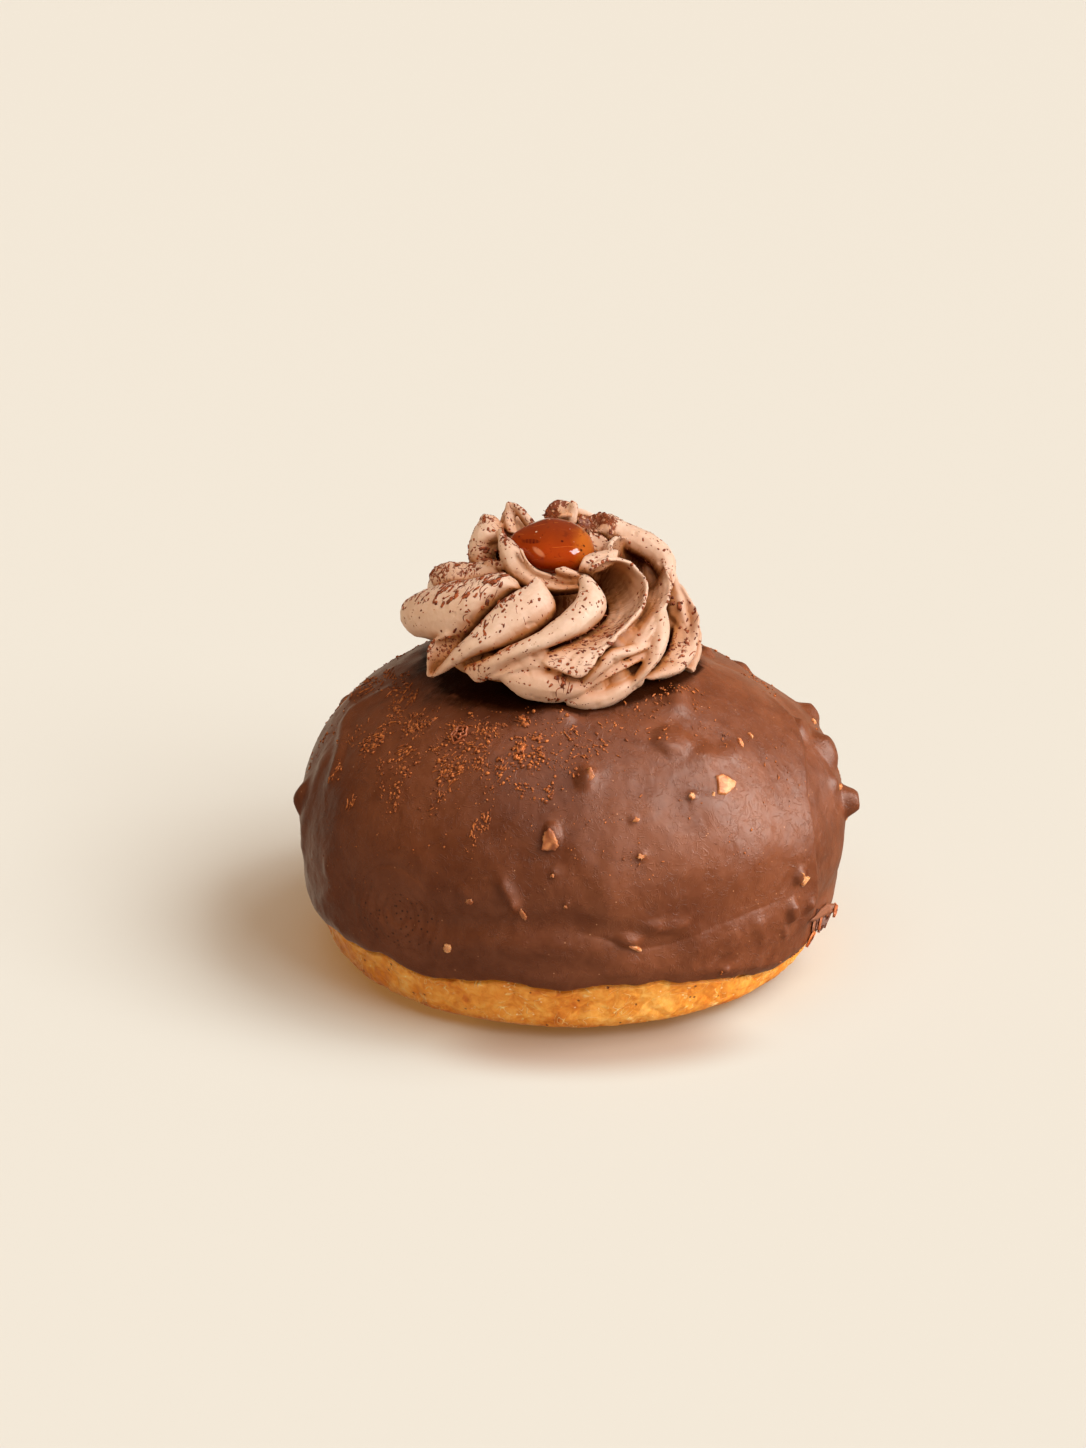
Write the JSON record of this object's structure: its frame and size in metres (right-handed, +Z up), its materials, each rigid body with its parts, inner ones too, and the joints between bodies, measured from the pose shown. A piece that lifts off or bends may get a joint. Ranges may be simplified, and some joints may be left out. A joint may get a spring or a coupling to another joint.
{
  "type": "filled doughnut with chocolate and a cream swirl",
  "caption": "Round filled doughnut with no hole, dipped in milk chocolate with chopped nuts, topped with a piped swirl of chocolate cream and a drop of orange gel.",
  "frame": {"origin": "centre of the doughnut's foot, on the surface that it rests on", "axes": "+Z up, -Y towards the side that the picture shows, +X to the right of it"},
  "size_m": [0.0937, 0.0924, 0.0752],
  "materials": {
    "fried_dough": "golden fried dough, lightly oiled",
    "milk_chocolate": "satin milk chocolate",
    "chocolate_cream": "soft satin cream",
    "orange_gel": "wet, clear",
    "chopped_nut": "matt",
    "grated_chocolate": "matt"
  },
  "bodies": {
    "root": {"dough_body": "fried_dough", "chocolate_coat": "milk_chocolate", "cream_swirl": "chocolate_cream", "gel_drop": "orange_gel"}
  },
  "joints": []
}
